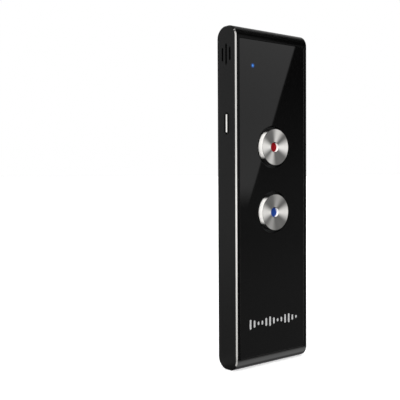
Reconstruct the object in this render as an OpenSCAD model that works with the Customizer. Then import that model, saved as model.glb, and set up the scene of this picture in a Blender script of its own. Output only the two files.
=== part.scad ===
// Handheld translator: a slim slab with two round push buttons on its front, a push key on its left
// side, a push key and a rocker on its right side, microphone slots on both sides, a speaker grille
// in its back and a charging port in its bottom end.
// Millimetres. X runs across the body, Y from its front to its back, Z up its length.
// The origin is at the middle of the bottom end. Side -1 is the left side, seen from the front.

/* [Body] */
// Length of the body from end to end
body_length = 145; // [130:1:180]
// Width of the body
body_width = 43; // [40:0.5:56]
// Depth of the body from its front to its back
body_depth = 12; // [12:0.1:16]
// Radius of the round ends, seen from the side
end_radius = 5; // [3:0.1:5.5]
// Bevel along the edges of both sides
edge_chamfer = 0.5; // [0.2:0.1:0.8]
// Thickness of the frame's two long sides
rail_wall = 2; // [1.8:0.1:2.4]
// Flat strip of frame below the front panel
bottom_lip = 0.1; // [0.1:0.1:1]
// Flat strip of frame above the front panel
top_lip = 0.5; // [0.1:0.1:1]

/* [Panels] */
// Thickness of the front panel
panel_thickness = 1.2; // [1:0.1:1.5]
// Gap round the front panel
panel_gap = 0.15; // [0.1:0.05:0.3]
// Thickness of the back cover
cover_thickness = 1.2; // [1:0.1:1.5]
// Gap round the back cover
cover_gap = 0.08; // [0.05:0.01:0.3]
// Radius of both panels' corners
panel_corner = 0.5; // [0.2:0.1:1]
// Thickness of the sticky tape under both panels
tape_thickness = 0.15; // [0.1:0.05:0.2]

/* [Round buttons] */
// Radius of the metal caps
button_radius = 7.8; // [7:0.1:10]
// How far the caps stand out of the front
button_proud = 1.5; // [0.8:0.1:1.6]
// Ring gap between each cap and the panel
button_gap = 1.4; // [0.3:0.1:1.5]
// How far a cap goes in
button_travel = 0.4; // [0.2:0.05:0.5]
// Bevel round a cap's front
button_chamfer = 0.1; // [0.05:0.05:0.3]
// How much lower a cap's face is at its hole than at its rim
button_dish = 0.6; // [0:0.1:0.7]
// Radius of the hole in a cap's middle
cap_hole_radius = 2.15; // [1.5:0.05:3]
// How deep the coloured disc sits in that hole
disc_depth = 1; // [0.2:0.1:1]
// Upper button's middle below the top end
upper_button_drop = 50.4; // [46:0.1:56]
// From one button's middle to the other's
button_pitch = 28.1; // [26:0.1:32]

/* [Side keys] */
// Width of the key on the left side
power_key_width = 1.9; // [1.5:0.1:3.8]
// Length of the key on the left side
power_key_length = 8.5; // [6:0.1:10]
// Width of the keys on the right side
right_key_width = 3.3; // [2.4:0.1:4.2]
// Length of the short key on the right side
mode_key_length = 8.5; // [6:0.1:10]
// Length of the rocker
rocker_length = 25.8; // [20:0.1:28]
// How far the key stands out of the left side
power_key_proud = 0.8; // [0.5:0.1:1]
// How far the keys stand out of the right side
right_key_proud = 0.8; // [0.5:0.1:1]
// Radius of a key's corners, seen from its side
key_corner = 0.7; // [0.6:0.05:0.7]
// Bevel round a key's outer face
key_chamfer = 0.4; // [0.2:0.05:0.5]
// Gap round a key in its slot
key_gap = 0.2; // [0.15:0.05:0.4]
// How far a push key goes in
key_travel = 0.3; // [0.2:0.05:0.35]
// The rocker's tilt each way, in degrees
rocker_tilt = 1.3; // [0.8:0.1:1.5]
// Left key's middle below the top end
power_key_drop = 40.7; // [36:0.1:46]
// Right push key's middle below the top end
mode_key_drop = 40.1; // [36:0.1:41]
// Rocker's middle below the top end
rocker_drop = 63.1; // [61:0.1:68]

/* [Light and microphones] */
// Radius of the light's lens
lens_radius = 1; // [0.6:0.1:1.4]
// The light's place to the left of the middle
light_offset = 11.9; // [10:0.1:13]
// The light below the top end
light_drop = 16.4; // [14:0.1:20]
// Width of a microphone slot
mic_slot_width = 1; // [0.6:0.1:1.2]
// Length of the middle microphone slot
mic_slot_long = 8.9; // [6:0.1:9]
// Length of the outer microphone slots
mic_slot_short = 5.7; // [4:0.1:6]
// From one microphone slot's middle to the next
mic_slot_pitch = 2.3; // [1.8:0.1:2.4]
// Middle of the microphone slots below the top end
mic_drop = 11.8; // [11.5:0.1:13]

/* [Speaker] */
// Radius of the holes in the back cover
grille_hole_radius = 0.6; // [0.4:0.05:0.75]
// From one column of holes to the next
grille_pitch_x = 3; // [2.5:0.05:3.5]
// From one row of holes to the next
grille_pitch_z = 2.85; // [2.5:0.05:3]
// Number of rows of holes
grille_rows = 10; // [6:2:10]
// Middle of the grille below the top end
grille_drop = 22.3; // [22:0.1:24]
// Width of the speaker
speaker_width = 26; // [26:0.5:28]
// Height of the speaker
speaker_height = 19; // [19:0.5:20]
// Thickness of the speaker
speaker_thickness = 3; // [2.4:0.1:3.2]

/* [Power] */
// Width of the battery
battery_width = 31; // [24:0.5:31]
// Thickness of the battery
battery_thickness = 5.4; // [4:0.1:5.6]
// Width of the charging port's shell
port_width = 7.5; // [7:0.1:9.4]
// Height of the charging port's shell
port_height = 2.6; // [2.4:0.1:3.2]
// Length of the charging port's shell
port_length = 5.5; // [5:0.1:6.5]

/* [Hidden] */
$fn = 64;

// Clearances and small details
touch_gap = 0.05;      // between pieces that almost touch
fit_gap = 0.1;         // round a piece that drops into another
slide_gap = 0.05;      // radial, round what slides or turns
over = 1;              // how far a cut runs past a face

// The body's faces
half_width = body_width / 2;
front_y = -body_depth / 2;
back_y = body_depth / 2;

// The frame's pocket, which both panels and the chassis sit in
pocket_half = half_width - rail_wall;
pocket_bottom = end_radius + bottom_lip;
pocket_top = body_length - end_radius - top_lip;
ledge_width = 1.2;
ledge_thickness = 1;

// Levels from the front to the back
panel_back = front_y + panel_thickness;
ledge_front = panel_back + tape_thickness;
deck_front = ledge_front + ledge_thickness;
deck_thickness = 1;
deck_back = deck_front + deck_thickness;
cover_front = back_y - cover_thickness;
rim_back = cover_front - tape_thickness;

// Buttons: the cap is stuck on a carrier, whose stem goes through the deck
carrier_thickness = 0.7;
carrier_spare = 0.3;
carrier_back = deck_front - button_travel - carrier_spare;
carrier_front = carrier_back - carrier_thickness;
carrier_inset = 0.6;
cap_front = front_y - button_proud;
stem_radius = 2.5;
clip_thickness = 0.4;
clip_front = deck_back + touch_gap;
clip_back = clip_front + clip_thickness;
clip_radius = 3.6;
groove_radius = 2.1;
clip_mouth = 3.4;
stem_tip = 0.2;
stem_end = clip_back + stem_tip;
disc_radius = cap_hole_radius - touch_gap;
disc_front = cap_front + button_dish + disc_depth;
upper_button_z = body_length - upper_button_drop;
lower_button_z = upper_button_z - button_pitch;

// Switches under the buttons
switch_size = 6;
switch_thickness = 1.1;
switch_front = stem_end + button_travel + touch_gap;
plunger_radius = 1;
plunger_in = 0.3;
plunger_well = plunger_in + button_travel + touch_gap;

// Main board
board_front = switch_front + switch_thickness;
board_thickness = 0.8;
board_back = board_front + board_thickness;
chassis_half = pocket_half - fit_gap;
chassis_bottom = pocket_bottom + fit_gap;
chassis_top = pocket_top - fit_gap;
chassis_wall = 1.6;
bay_half = chassis_half - chassis_wall;
bay_bottom = chassis_bottom + chassis_wall;
bay_top = chassis_top - chassis_wall;
board_side_gap = 1.2;
board_top_gap = 1.4;
board_half = bay_half - board_side_gap;
board_below_button = 9.5;
board_bottom = lower_button_z - board_below_button;
board_top = bay_top - board_top_gap;

// Screws
screw_radius = 0.7;
screw_hole = 0.85;
thread_hole = screw_radius + 0.02;
head_radius = 1.25;
head_height = 0.7;
recess_width = 0.3;
recess_length = 1.5;
recess_depth = 0.35;
boss_radius = 1.8;
board_screw_length = 2.6;
lower_screw_inset = [2.6, 3];    // from the board's side and from its bottom edge
upper_screw_inset = [4.6, 1.7];  // from the board's side and from its top edge
board_screw_x = [board_half - lower_screw_inset[0], board_half - upper_screw_inset[0]];
board_screw_z = [board_bottom + lower_screw_inset[1], board_top - upper_screw_inset[1]];

// Pads in the frame's four corners, which the chassis is screwed to
pad_size = 5.2;
pad_edge = 3.2;
flange_thickness = 1;
flange_back = deck_back + flange_thickness;
chassis_screw_length = 2.7;
chassis_screw_x = pocket_half - pad_edge;
chassis_screw_z = [pocket_bottom + pad_edge, pocket_top - pad_edge];

// Side keys: slot, shaft with a flange behind the frame's wall, and a nub that meets a dome
flange_depth = 0.5;
flange_margin = 0.6;
relief_wall = 1;
relief_floor = half_width - relief_wall;
relief_gap = 0.3;
slot_chamfer = 0.15;
push_flange_out = relief_floor - touch_gap;
rocker_flange_in = pocket_half + fit_gap;
rocker_flange_out = rocker_flange_in + flange_depth;
key_recess = 1;
flex_thickness = 0.3;
flex_in = chassis_half - key_recess;
flex_out = flex_in + flex_thickness;
flex_half = 2.5;
flex_margin = 6;
flex_play = 0.3;
flex_window = 0.9;
dome_height = 0.25;
dome_radius = 2;
dome_top_radius = 1.4;
dome_top = flex_out + dome_height;
nub_radius = 0.8;
nub_root = 0.2;
push_nub_in = dome_top + key_travel + touch_gap;
rocker_nub_arm = 9;
rocker_nub_in = dome_top + rocker_nub_arm * tan(rocker_tilt) + touch_gap;
pin_radius = 0.35;
pin_x = pocket_half + pin_radius;
pin_half = 3.4;
hub_radius = 0.7;
power_key_z = body_length - power_key_drop;
mode_key_z = body_length - mode_key_drop;
rocker_z = body_length - rocker_drop;
tail_width = 3;
tail_thickness = 0.15;
tail_overlap = 1.6;
left_tail_z = power_key_z - flex_margin + tail_width / 2;
right_tail_z = (rocker_z + mode_key_z) / 2 + tail_width;

// Microphones behind the slots in both sides
mic_z = body_length - mic_drop;
mic_behind_deck = 2.65;
mic_y = deck_back + mic_behind_deck;
mesh_thickness = 0.25;
mesh_margin = 0.5;
mesh_half_depth = mic_slot_pitch + mic_slot_width / 2 + mesh_margin;
mesh_half_length = mic_slot_long / 2 + mesh_margin;
mic_radius = 2;
mic_length = 1.5;
mic_lead_gap = 0.6;
boot_radius = 2.4;
boot_in = bay_half - mic_lead_gap;
boot_floor = 0.2;

// Light
light_x = -light_offset;
light_z = body_length - light_drop;
light_size = 1.6;
light_height = 0.6;
lens_flange_width = 0.8;
lens_flange_thickness = 0.4;

// Speaker, from the back cover inwards
grille_z = body_length - grille_drop;
grille_margin = 2.2;
grille_width = 2 * (pocket_half - grille_margin);
grille_columns = floor(grille_width / grille_pitch_x) + 1;
dimple_depth = 0.4;
speaker_back = cover_front - tape_thickness;
gasket_thickness = 0.5;
speaker_face = speaker_back - gasket_thickness;
speaker_rim = 1.6;
speaker_open_width = speaker_width - 2 * speaker_rim;
speaker_open_height = speaker_height - 2 * speaker_rim;
speaker_corner = 1.5;
speaker_well = 1;
cone_thickness = 0.3;
cone_swell = 0.4;
cone_flat = 2;
cone_corner = 5;
magnet_radius = 5;
magnet_floor = 0.4;
magnet_length = speaker_thickness - speaker_well - cone_thickness - magnet_floor;

// Chips on the main board's front
can_half_width = 9;
can_height = 1.4;
can_wall = 0.2;
can_gap = 3;           // from the can to the switches
can_bottom = lower_button_z + switch_size / 2 + can_gap;
can_top = upper_button_z - switch_size / 2 - can_gap;
chip_height = 0.9;
processor_size = 8;
processor_x = -4;
memory_size = 6;
memory_x = 4.6;
chip_z = (can_bottom + can_top) / 2;
antenna_x = 5;
antenna_size = [6, 1.2, 2.5];
antenna_edge = 1;      // below the board's top

// Charging port and its board, inside the bottom end
port_recess = 0.5;
port_wall = 0.25;
port_play = 0.25;
port_chamfer = 0.8;
tongue_half_width = 1.8;
tongue_front = 0.2;
tongue_thickness = 0.55;
tongue_setback = 0.8;
contact_pitch = 0.65;
contact_width = 0.3;
contact_thickness = 0.1;
contact_setback = 0.3;
charge_half = 9;
charge_length = 10;
charge_front = port_height / 2;
charge_thickness = 0.8;
charge_back = charge_front + charge_thickness;
charge_bottom = bay_bottom + fit_gap;
charge_top = charge_bottom + charge_length;
charge_screw_x = 6.5;
charge_screw_edge = 2.6;
charge_screw_z = charge_bottom + charge_screw_edge;

// Battery between the two boards
rib_thickness = 1;
rib_height = 3.6;
pad_thickness = 1.3;
pad_inset = 1;
battery_front = deck_back + pad_thickness;
battery_back = battery_front + battery_thickness;
battery_half = battery_width / 2;
battery_corner = 1.2;
battery_gap = 0.6;
battery_board_length = 3;
battery_board_half = 12;
battery_board_depth = 2;
battery_board_front = battery_front + battery_board_depth;
battery_board_gap = 2;
lead_gap = 3.5;
battery_bottom = charge_top + battery_gap + rib_thickness;
battery_board_top = board_bottom - battery_board_gap;
battery_top = battery_board_top - battery_board_length;
lead_radius = 0.35;
lead_x = [-6.2, -4.4];
lead_y = battery_board_front + charge_thickness / 2;
plug_half = 2;
plug_height = 1.6;
plug_length = 4;
plug_bottom = battery_board_top + lead_gap;

// Ribbon behind the battery, from board to board
ribbon_left = 5.5;
ribbon_width = 6;
ribbon_thickness = 0.15;
ribbon_front = max(battery_back, charge_back) + touch_gap;
ribbon_back = ribbon_front + ribbon_thickness;
ribbon_foot = 2;
ribbon_bottom = charge_top - ribbon_foot;
ribbon_top = board_bottom + ribbon_foot;

black_metal = "#262626";
black_gloss = "#141414";
black_plastic = "#1c1c1e";
bright_metal = "#c8c8c4";
gold = "#c9a35a";
board_green = "#1d5a38";

// ---------------------------------------------------------------- shapes used by several pieces

// A flat outline, x across and y up its length, pushed out along Y from y0 to y1
module along_y(y0, y1) {
    translate([0, y1, 0]) rotate([90, 0, 0]) linear_extrude(y1 - y0) children();
}

// A flat outline, x towards the back and y up its length, pushed out along X from x0 to x1
module along_x(x0, x1) {
    translate([x0, 0, 0]) rotate([90, 0, 90]) linear_extrude(x1 - x0) children();
}

// A round rod along Y
module rod_y(x, z, y0, y1, r) {
    translate([x, y1, z]) rotate([90, 0, 0]) cylinder(r = r, h = y1 - y0);
}

// A round rod along X
module rod_x(y, z, x0, x1, r) {
    translate([x0, y, z]) rotate([0, 90, 0]) cylinder(r = r, h = x1 - x0);
}

// A box from its lowest to its highest corner
module block(low, high) {
    translate(low) cube(high - low);
}

// A rectangle with round corners, from its lowest to its highest corner
module round_rectangle(low, high, r) {
    translate([low[0] + r, low[1]]) square([high[0] - low[0] - 2 * r, high[1] - low[1]]);
    translate([low[0], low[1] + r]) square([high[0] - low[0], high[1] - low[1] - 2 * r]);
    for (x = [low[0] + r, high[0] - r])
        for (y = [low[1] + r, high[1] - r])
            translate([x, y]) circle(r);
}

// A slot's outline: straight sides and round ends
module stadium(width, length) {
    square([width, length - width], center = true);
    for (side = [-1, 1])
        translate([0, side * (length - width) / 2]) circle(width / 2);
}

// A block with rounded corners that narrows by its height all round, as a 45 degree bevel does
module bevelled_block(width, length, corner, height) {
    w = width / 2;
    l = length / 2;
    h = height;
    for (x = [-w + corner, w - corner])
        for (y = [-l + corner, l - corner])
            translate([x, y, 0]) cylinder(r1 = corner, r2 = corner - h, h = h);
    translate([0, l - corner, 0]) rotate([90, 0, 0]) linear_extrude(length - 2 * corner)
        polygon([[-w, 0], [w, 0], [w - h, h], [-w + h, h]]);
    translate([-w + corner, 0, 0]) rotate([90, 0, 90]) linear_extrude(width - 2 * corner)
        polygon([[-l, 0], [l, 0], [l - h, h], [-l + h, h]]);
}

// A key's outline, wider all round by grow
module key_outline(width, length, grow = 0) {
    w = width / 2 + grow;
    l = length / 2 + grow;
    round_rectangle([-w, -l], [w, l], key_corner + grow);
}

// The body's outer form: round ends, seen from the side, and a bevel round both sides
module body_form() {
    core_half = half_width - edge_chamfer;
    along_x(-core_half, core_half)
        round_rectangle([front_y, 0], [back_y, body_length], end_radius);
    for (side = [0, 1]) mirror([side, 0, 0]) translate([core_half, 0, 0]) side_bevel();
}

// The last layer on the right side, which narrows all round by its height
module side_bevel() {
    c = edge_chamfer;
    for (y = [front_y + end_radius, back_y - end_radius])
        for (z = [end_radius, body_length - end_radius])
            translate([0, y, z]) rotate([0, 90, 0])
                cylinder(r1 = end_radius, r2 = end_radius - c, h = c);
    translate([0, 0, end_radius]) linear_extrude(body_length - 2 * end_radius)
        polygon([[0, front_y], [c, front_y + c], [c, back_y - c], [0, back_y]]);
    along_y(front_y + end_radius, back_y - end_radius)
        polygon([[0, 0], [c, c], [c, body_length - c], [0, body_length]]);
}

// The frame's pocket, drawn smaller all round by gap
module pocket_outline(gap) {
    round_rectangle([-pocket_half + gap, pocket_bottom + gap],
                    [pocket_half - gap, pocket_top - gap], panel_corner);
}

// A flat ring of the pocket's form, from gap inside it to width further in
module pocket_ring(gap, width) {
    difference() {
        pocket_outline(gap);
        translate([-pocket_half + gap + width, pocket_bottom + gap + width])
            square([2 * (pocket_half - gap - width),
                    pocket_top - pocket_bottom - 2 * (gap + width)]);
    }
}

// Screw along Y with its head at the back, and a cross in its head
module screw(x, z, seat, length) {
    rod_y(x, z, seat - length, seat, screw_radius);
    difference() {
        rod_y(x, z, seat, seat + head_height, head_radius);
        for (turn = [0, 90])
            translate([x, seat + head_height, z]) rotate([0, turn, 0])
                cube([recess_length, 2 * recess_depth, recess_width], center = true);
    }
}

// ---------------------------------------------------------------- housing

// One-piece metal frame: both sides, both round ends, a ledge for the front panel and corner pads
module frame() color(black_metal) difference() {
    body_form();
    along_y(front_y - over, ledge_front) pocket_outline(0);
    difference() {
        along_y(deck_front, back_y + over) pocket_outline(0);
        corner_pads();
    }
    difference() {
        along_y(ledge_front - over, deck_front + over)
            round_rectangle([-pocket_half + ledge_width, pocket_bottom + ledge_width],
                            [pocket_half - ledge_width, pocket_top - ledge_width], panel_corner);
        corner_pads();
    }
    for (x = [-chassis_screw_x, chassis_screw_x])
        for (z = chassis_screw_z)
            rod_y(x, z, ledge_front + touch_gap, deck_back + over, thread_hole);
    key_slot(-1, power_key_z, power_key_width, power_key_length);
    key_slot(1, mode_key_z, right_key_width, mode_key_length);
    key_slot(1, rocker_z, right_key_width, rocker_length);
    pin_groove();
    for (side = [-1, 1]) mic_slots(side);
    port_hole();
}

module corner_pads() {
    for (x = [-pocket_half, pocket_half - pad_size])
        for (z = [pocket_bottom, pocket_top - pad_size])
            block([x, ledge_front, z], [x + pad_size, deck_back, z + pad_size]);
}

// Slot for a key: a bevelled mouth, the slot itself and a wider relief for the key's flange
module key_slot(side, z, key_width, key_length) {
    mouth = key_gap + slot_chamfer;
    relief = 2 * (flange_margin + relief_gap);
    mirror([side < 0 ? 1 : 0, 0, 0]) translate([0, 0, z]) {
        along_x(pocket_half - over, half_width + over)
            key_outline(key_width, key_length, key_gap);
        along_x(pocket_half - over, relief_floor)
            square([key_width + relief, key_length + relief], center = true);
        translate([half_width, 0, 0]) rotate([90, 0, -90])
            bevelled_block(key_width + 2 * mouth, key_length + 2 * mouth, key_corner + mouth,
                           slot_chamfer);
    }
}

// Groove across the frame's inner wall, open inwards, that the rocker's pin lies in
module pin_groove() {
    r = pin_radius + touch_gap / 2;
    rod_y(pin_x, rocker_z, -pin_half - fit_gap, pin_half + fit_gap, r);
    block([pocket_half - over, -pin_half - fit_gap, rocker_z - r],
          [pin_x, pin_half + fit_gap, rocker_z + r]);
}

// Three sound slots and the shallow seat of the mesh behind them
module mic_slots(side) {
    mirror([side < 0 ? 1 : 0, 0, 0]) translate([0, mic_y, mic_z]) {
        for (step = [-1, 0, 1])
            along_x(pocket_half - over, half_width + over)
                translate([step * mic_slot_pitch, 0])
                    stadium(mic_slot_width, step == 0 ? mic_slot_long : mic_slot_short);
        along_x(pocket_half - over, pocket_half + mesh_thickness)
            square([2 * mesh_half_depth, 2 * mesh_half_length], center = true);
    }
}

module port_hole() {
    w = port_width / 2 + port_play;
    h = port_height / 2 + port_play;
    translate([0, 0, -over]) linear_extrude(pocket_bottom + 2 * over)
        round_rectangle([-w, -h], [w, h], port_chamfer);
}

// Glossy front panel, with round openings for both buttons and a hole for the light
module front_panel() color(black_gloss) difference() {
    along_y(front_y, panel_back) pocket_outline(panel_gap);
    for (z = [upper_button_z, lower_button_z])
        rod_y(0, z, front_y - over, panel_back + over, button_radius + button_gap);
    rod_y(light_x, light_z, front_y - over, panel_back + over, lens_radius + touch_gap);
}

// Back cover with the speaker grille: the holes in front of the speaker go through, those round
// them are dimples
module back_cover() color(black_gloss) difference() {
    along_y(cover_front, back_y) pocket_outline(cover_gap);
    for (column = [0:grille_columns - 1])
        for (row = [0:grille_rows - 1]) {
            x = (column - (grille_columns - 1) / 2) * grille_pitch_x;
            up = (row - (grille_rows - 1) / 2) * grille_pitch_z;
            sounds = abs(x) + grille_hole_radius < speaker_open_width / 2
                  && abs(up) + grille_hole_radius < speaker_open_height / 2;
            rod_y(x, grille_z + up, sounds ? cover_front - over : back_y - dimple_depth,
                  back_y + over, grille_hole_radius);
        }
}

// Inner plastic chassis: a deck behind the front panel, walls all round, bosses and ribs
module chassis() color(black_plastic) difference() {
    union() {
        difference() {
            along_y(deck_front, rim_back) pocket_outline(fit_gap);
            block([-bay_half, deck_back, bay_bottom], [bay_half, rim_back + over, bay_top]);
            for (x = [-pocket_half - over, pocket_half - pad_size - fit_gap])
                for (z = [pocket_bottom - over, pocket_top - pad_size - fit_gap])
                    block([x, deck_front - over, z],
                          [x + pad_size + fit_gap + over, deck_back, z + pad_size + fit_gap + over]);
        }
        for (x = [-bay_half, pocket_half - pad_size])
            for (z = [bay_bottom, pocket_top - pad_size])
                block([x, deck_back, z],
                      [x + bay_half - pocket_half + pad_size, flange_back,
                       z + pad_size - fit_gap - chassis_wall]);
        for (i = [0, 1])
            for (x = [-board_screw_x[i], board_screw_x[i]])
                rod_y(x, board_screw_z[i], deck_front, board_front, boss_radius);
        for (x = [-charge_screw_x, charge_screw_x])
            rod_y(x, charge_screw_z, deck_front, charge_front, boss_radius);
        block([-bay_half, deck_front, charge_top + battery_gap / 2],
              [bay_half, deck_back + rib_height, charge_top + battery_gap / 2 + rib_thickness]);
    }
    for (x = [-chassis_screw_x, chassis_screw_x])
        for (z = chassis_screw_z)
            rod_y(x, z, deck_front - over, flange_back + over, screw_hole);
    for (i = [0, 1])
        for (x = [-board_screw_x[i], board_screw_x[i]])
            rod_y(x, board_screw_z[i], board_front - board_screw_length, board_front + over,
                  thread_hole);
    for (x = [-charge_screw_x, charge_screw_x])
        rod_y(x, charge_screw_z, charge_front - board_screw_length, charge_front + over,
              thread_hole);
    for (z = [upper_button_z, lower_button_z])
        rod_y(0, z, deck_front - over, deck_back + over, stem_radius + slide_gap);
    rod_y(light_x, light_z, deck_front - over, deck_back + over, lens_radius + fit_gap);
    for (side = [-1, 1])
        rod_x(mic_y, mic_z, side < 0 ? -pocket_half - over : boot_in,
              side < 0 ? -boot_in : pocket_half + over, boot_radius + touch_gap);
    flex_recess(-1, power_key_z, power_key_z, left_tail_z);
    flex_recess(1, rocker_z - rocker_nub_arm, mode_key_z, right_tail_z);
    block([-port_width / 2 - port_play, -port_height / 2 - port_play, chassis_bottom - over],
          [port_width / 2 + port_play, charge_back + port_play, bay_bottom + over]);
}

// Shallow recess in the chassis wall for the key circuit, and a window for its tail
module flex_recess(side, low_dome_z, high_dome_z, tail_z) {
    mirror([side < 0 ? 1 : 0, 0, 0]) {
        block([flex_in, -flex_half - flex_play, low_dome_z - flex_margin - flex_play],
              [pocket_half + over, flex_half + flex_play, high_dome_z + flex_margin + flex_play]);
        block([bay_half - over, board_back - flex_play, tail_z - tail_width / 2 - flex_play],
              [flex_in + over, board_back + flex_window - flex_play,
               tail_z + tail_width / 2 + flex_play]);
    }
}

module front_tape() color("#303030")
    along_y(panel_back, ledge_front) pocket_ring(panel_gap, ledge_width - panel_gap);

module back_tape() color("#303030")
    along_y(rim_back, cover_front) pocket_ring(fit_gap, chassis_wall);

module chassis_screws() color(bright_metal)
    for (x = [-chassis_screw_x, chassis_screw_x])
        for (z = chassis_screw_z)
            screw(x, z, flange_back, chassis_screw_length);

// ---------------------------------------------------------------- round buttons

// Metal cap: a short cylinder with a bevelled rim, and a dished face with a bevelled hole
module button_cap(z) color(bright_metal)
    translate([0, carrier_front, z]) rotate([90, 0, 0]) rotate_extrude() {
        height = carrier_front - cap_front;
        low = height - button_dish;
        c = button_chamfer;
        polygon([
            [cap_hole_radius, 0], [button_radius, 0], [button_radius, height - c],
            [button_radius - c, height], [cap_hole_radius + c, low], [cap_hole_radius, low - c]
        ]);
    }

module button_disc(z, tint) color(tint)
    rod_y(0, z, disc_front, carrier_front, disc_radius);

// Plate under the cap with a stem through the deck, and a groove for the clip
module button_carrier(z) color(black_plastic) difference() {
    union() {
        rod_y(0, z, carrier_front, carrier_back, button_radius - carrier_inset);
        rod_y(0, z, carrier_back, stem_end, stem_radius);
    }
    difference() {
        rod_y(0, z, clip_front, clip_back, stem_radius + over);
        rod_y(0, z, clip_front, clip_back, groove_radius);
    }
}

// Ring clip that keeps the stem in the deck
module button_clip(z) color(bright_metal) difference() {
    rod_y(0, z, clip_front, clip_back, clip_radius);
    rod_y(0, z, clip_front - over, clip_back + over, groove_radius);
    block([-clip_mouth / 2, clip_front - over, z - clip_radius - over],
          [clip_mouth / 2, clip_back + over, z]);
}

module switch_plunger(z) color("#e8e4d8")
    rod_y(0, z, stem_end, switch_front + plunger_in, plunger_radius);

module upper_button_cap() button_cap(upper_button_z);
module upper_button_disc() button_disc(upper_button_z, "#9a0c16");
module upper_button_carrier() button_carrier(upper_button_z);
module upper_button_clip() button_clip(upper_button_z);
module upper_switch_plunger() switch_plunger(upper_button_z);
module lower_button_cap() button_cap(lower_button_z);
module lower_button_disc() button_disc(lower_button_z, "#1f45a8");
module lower_button_carrier() button_carrier(lower_button_z);
module lower_button_clip() button_clip(lower_button_z);
module lower_switch_plunger() switch_plunger(lower_button_z);

// Switch bodies on the main board, with a well for each plunger
module front_switches() color("#8a8a8c")
    for (z = [upper_button_z, lower_button_z])
        difference() {
            block([-switch_size / 2, switch_front, z - switch_size / 2],
                  [switch_size / 2, board_front, z + switch_size / 2]);
            rod_y(0, z, switch_front - over, switch_front + plunger_well,
                  plunger_radius + slide_gap);
        }

// ---------------------------------------------------------------- side keys

// A key's shaft with its bevelled outer face, from inner out to the proud face
module key_shaft(inner, width, length, proud) {
    shoulder = half_width + proud - key_chamfer;
    along_x(inner, shoulder) key_outline(width, length);
    translate([shoulder, 0, 0]) rotate([90, 0, 90])
        bevelled_block(width, length, key_corner, key_chamfer);
}

module key_flange(inner, width, length) {
    along_x(inner, inner + flange_depth)
        square([width + 2 * flange_margin, length + 2 * flange_margin], center = true);
}

module push_key(side, z, width, length, proud) {
    inner = push_flange_out - flange_depth;
    mirror([side < 0 ? 1 : 0, 0, 0]) translate([0, 0, z]) {
        key_shaft(inner, width, length, proud);
        key_flange(inner, width, length);
        rod_x(0, 0, push_nub_in, inner + nub_root, nub_radius);
    }
}

module power_button() color(black_metal)
    push_key(-1, power_key_z, power_key_width, power_key_length, power_key_proud);

module mode_button() color(black_metal)
    push_key(1, mode_key_z, right_key_width, mode_key_length, right_key_proud);

// Rocker with a hub for its pin and a nub at each end
module volume_rocker() color(black_metal) difference() {
    translate([0, 0, rocker_z]) {
        key_shaft(rocker_flange_out, right_key_width, rocker_length, right_key_proud);
        key_flange(rocker_flange_in, right_key_width, rocker_length);
        rod_y(pin_x, 0, -right_key_width / 2, right_key_width / 2, hub_radius);
        for (end = [-1, 1])
            rod_x(0, end * rocker_nub_arm, rocker_nub_in, rocker_flange_in + nub_root,
                  nub_radius);
    }
    rod_y(pin_x, rocker_z, -pin_half - over, pin_half + over, pin_radius + slide_gap);
}

module rocker_pin() color(bright_metal)
    rod_y(pin_x, rocker_z, -pin_half, pin_half, pin_radius);

// Key circuit on its stiffener, with a tail that lies on the main board
module key_flex(side, low_dome_z, high_dome_z, tail_z) color("#c8782c")
    mirror([side < 0 ? 1 : 0, 0, 0]) {
        block([flex_in, -flex_half, low_dome_z - flex_margin],
              [flex_out, flex_half, high_dome_z + flex_margin]);
        block([board_half - tail_overlap, board_back, tail_z - tail_width / 2],
              [flex_in, board_back + tail_thickness, tail_z + tail_width / 2]);
    }

module left_key_flex() key_flex(-1, power_key_z, power_key_z, left_tail_z);
module right_key_flex() key_flex(1, rocker_z - rocker_nub_arm, mode_key_z, right_tail_z);

module dome(side, z) {
    mirror([side < 0 ? 1 : 0, 0, 0]) translate([flex_out, 0, z]) rotate([0, 90, 0])
        cylinder(r1 = dome_radius, r2 = dome_top_radius, h = dome_height);
}

module key_domes() color(bright_metal) {
    dome(-1, power_key_z);
    for (z = [mode_key_z, rocker_z - rocker_nub_arm, rocker_z + rocker_nub_arm]) dome(1, z);
}

// ---------------------------------------------------------------- main board

module main_board() color(board_green) difference() {
    block([-board_half, board_front, board_bottom], [board_half, board_back, board_top]);
    for (i = [0, 1])
        for (x = [-board_screw_x[i], board_screw_x[i]])
            rod_y(x, board_screw_z[i], board_front - over, board_back + over, screw_hole);
}

module board_screws() color(bright_metal)
    for (i = [0, 1])
        for (x = [-board_screw_x[i], board_screw_x[i]])
            screw(x, board_screw_z[i], board_back, board_screw_length + board_thickness - fit_gap);

// Sheet-metal can over the two chips, open towards the board
module shield_can() color("#b4b4b0") difference() {
    block([-can_half_width, board_front - can_height, can_bottom],
          [can_half_width, board_front, can_top]);
    block([-can_half_width + can_wall, board_front - can_height + can_wall, can_bottom + can_wall],
          [can_half_width - can_wall, board_front + over, can_top - can_wall]);
}

module chip(x, z, size) {
    block([x - size / 2, board_front - chip_height, z - size / 2],
          [x + size / 2, board_front, z + size / 2]);
}

module processor_chip() color("#202022") chip(processor_x, chip_z, processor_size);
module memory_chip() color("#26262a") chip(memory_x, chip_z, memory_size);

module antenna() color("#e6e0d0")
    translate([antenna_x - antenna_size[0] / 2, board_front - antenna_size[1],
               board_top - antenna_edge - antenna_size[2]])
        cube(antenna_size);

module light_chip() color("#f0ead0")
    block([light_x - light_size / 2, board_front - light_height, light_z - light_size / 2],
          [light_x + light_size / 2, board_front, light_z + light_size / 2]);

// Clear light pipe, flush with the front panel, with a flange behind it
module light_lens() color("#2f7fdb") {
    rod_y(light_x, light_z, front_y, board_front - light_height - touch_gap, lens_radius);
    rod_y(light_x, light_z, panel_back, panel_back + lens_flange_thickness,
          lens_radius + lens_flange_width);
}

// ---------------------------------------------------------------- microphones

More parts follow.
